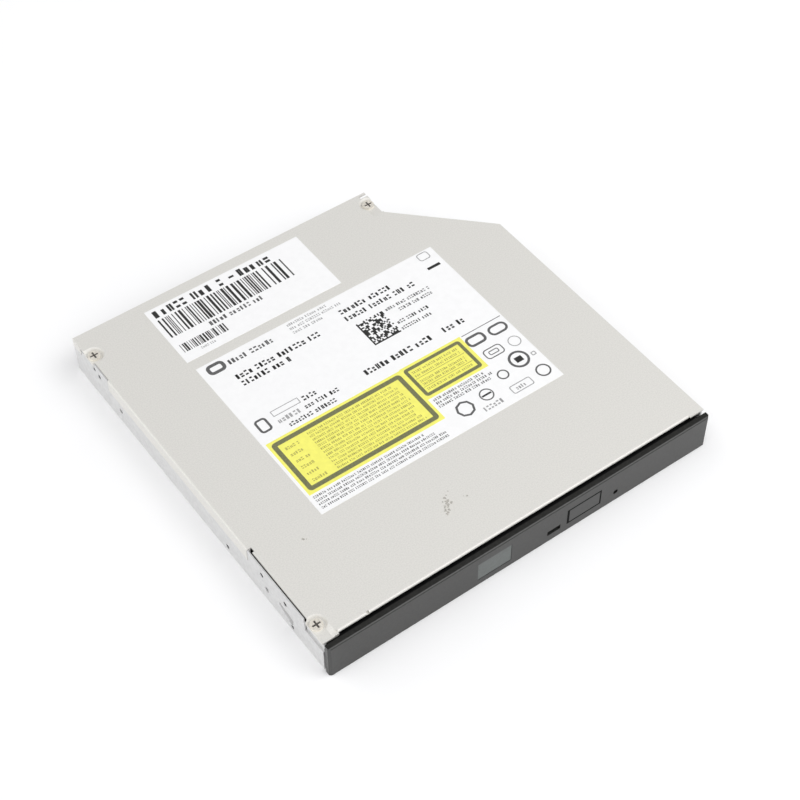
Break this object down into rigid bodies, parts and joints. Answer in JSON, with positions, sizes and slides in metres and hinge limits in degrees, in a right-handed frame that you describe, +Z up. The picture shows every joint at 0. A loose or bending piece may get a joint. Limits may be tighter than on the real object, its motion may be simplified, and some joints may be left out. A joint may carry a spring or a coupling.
{
  "type": "internal dvd writer",
  "caption": "Slim internal disc writer for a notebook computer, with a tray on telescopic rails, a front bezel with eject button and a rear edge connector.",
  "frame": {"origin": "Centre of the bounding box in X and Y, on the plane that the base sheet rests on.", "axes": "+X to the right seen from the front, +Y to the rear, +Z up; the bezel faces -Y and the tray slides out along -Y."},
  "size_m": [0.128, 0.13, 0.0128],
  "materials": {
    "case_sheet": "satin",
    "screw_nickel": "satin",
    "polished_steel": "polished",
    "zinc_sheet": "satin",
    "label_white": "satin",
    "label_yellow": "satin",
    "dark_plastic": "matte",
    "bezel_plastic": "fine texture",
    "lamp_plastic": "smoked",
    "board_green": "solder mask",
    "chip_black": "matte",
    "socket_cream": "matte",
    "contact_gold": "polished",
    "flex_tan": "satin",
    "rubber_black": "matte",
    "lens_glass": "polished",
    "die_cast": "cast",
    "copper_wire": "satin"
  },
  "bodies": {
    "chassis": {"bottom_case": "case_sheet", "top_cover": "case_sheet", "cover_screw_front_left": "screw_nickel", "cover_screw_rear_left": "screw_nickel", "cover_screw_rear_right": "screw_nickel", "small_label": "label_white", "main_label": "label_white", "label_fields": "label_yellow", "left_fixed_rail": "dark_plastic", "right_fixed_rail": "dark_plastic", "main_board": "board_green", "main_controller": "chip_black", "memory_chip": "chip_black", "flex_socket": "socket_cream", "rear_connector": "dark_plastic", "connector_contacts": "contact_gold", "flex_cable": "flex_tan"},
    "tray": {"disc_tray": "dark_plastic", "tray_bottom_plate": "zinc_sheet", "bezel": "bezel_plastic", "light_pipe": "lamp_plastic", "tray_board": "board_green", "eject_switch": "chip_black", "traverse_frame": "die_cast", "traverse_cover": "zinc_sheet", "main_rod": "polished_steel", "sub_rod": "polished_steel", "sledge_motor": "zinc_sheet", "damper_a": "rubber_black", "damper_b": "rubber_black", "damper_c": "rubber_black", "spindle_base": "zinc_sheet", "spindle_stator": "copper_wire", "lock_base": "zinc_sheet", "lock_solenoid": "zinc_sheet"},
    "left_rail": {"left_slide_rail": "zinc_sheet"},
    "right_rail": {"right_slide_rail": "zinc_sheet"},
    "button": {"eject_button": "bezel_plastic"},
    "slider": {"emergency_slider": "dark_plastic"},
    "spindle": {"spindle_rotor": "polished_steel", "spindle_ring": "rubber_black", "clamp_hub": "dark_plastic"},
    "claw_a": {"clamp_claw_a": "dark_plastic"},
    "claw_b": {"clamp_claw_b": "dark_plastic"},
    "claw_c": {"clamp_claw_c": "dark_plastic"},
    "screw": {"lead_screw": "polished_steel"},
    "sledge": {"pickup_sled": "die_cast"},
    "focus": {"lens_holder": "chip_black", "lens": "lens_glass"},
    "lever": {"lock_lever": "dark_plastic"}
  },
  "joints": [
    {"name": "tray_slide", "type": "slide", "parent": "chassis", "child": "tray", "axis": [0, -1, 0], "range_m": [0, 0.126], "deforming": ["flex_cable"]},
    {"name": "left_rail_slide", "type": "slide", "parent": "chassis", "child": "left_rail", "axis": [0, -1, 0], "range_m": [0, 0.063]},
    {"name": "right_rail_slide", "type": "slide", "parent": "chassis", "child": "right_rail", "axis": [0, -1, 0], "range_m": [0, 0.063]},
    {"name": "eject_press", "type": "slide", "parent": "tray", "child": "button", "axis": [0, 1, 0], "range_m": [0, 0.0005], "stiffness_N_per_m": 300, "springref_m": -0.0005},
    {"name": "emergency_push", "type": "slide", "parent": "tray", "child": "slider", "axis": [0, 1, 0], "range_m": [0, 0.003], "stiffness_N_per_m": 80, "springref_m": -0.001},
    {"name": "spindle_spin", "type": "hinge", "parent": "tray", "child": "spindle", "pos_m": [0, 0.001, 0.007], "axis": [0, 0, 1], "continuous": true},
    {"name": "screw_spin", "type": "hinge", "parent": "tray", "child": "screw", "pos_m": [0.01471, -0.01371, 0.005], "axis": [-0.7071, -0.7071, 0], "range_deg": [0, 3545]},
    {"name": "sledge_slide", "type": "slide", "parent": "tray", "child": "sledge", "axis": [-0.7071, -0.7071, 0], "range_m": [0, 0.0295]},
    {"name": "lens_focus", "type": "slide", "parent": "sledge", "child": "focus", "axis": [0, 0, 1], "range_m": [-0.0003, 0.0003], "stiffness_N_per_m": 50},
    {"name": "lock_swing", "type": "hinge", "parent": "tray", "child": "lever", "pos_m": [0.004, 0.051, 0.004], "axis": [0, 0, 1], "range_deg": [-12, 0]},
    {"name": "claw_a_slide", "type": "slide", "parent": "spindle", "child": "claw_a", "axis": [0, 1, 0], "range_m": [-0.0005, 0], "stiffness_N_per_m": 150, "springref_m": 0.0005},
    {"name": "claw_b_slide", "type": "slide", "parent": "spindle", "child": "claw_b", "axis": [-0.866, -0.5, 0], "range_m": [-0.0005, 0], "stiffness_N_per_m": 150, "springref_m": 0.0005},
    {"name": "claw_c_slide", "type": "slide", "parent": "spindle", "child": "claw_c", "axis": [0.866, -0.5, 0], "range_m": [-0.0005, 0], "stiffness_N_per_m": 150, "springref_m": 0.0005}
  ],
  "couplings": [
    {"joint": "left_rail_slide", "follows": "tray_slide", "ratio": 0.5},
    {"joint": "right_rail_slide", "follows": "tray_slide", "ratio": 0.5},
    {"joint": "screw_spin", "follows": "sledge_slide", "rad_per_m": 2094.4}
  ]
}
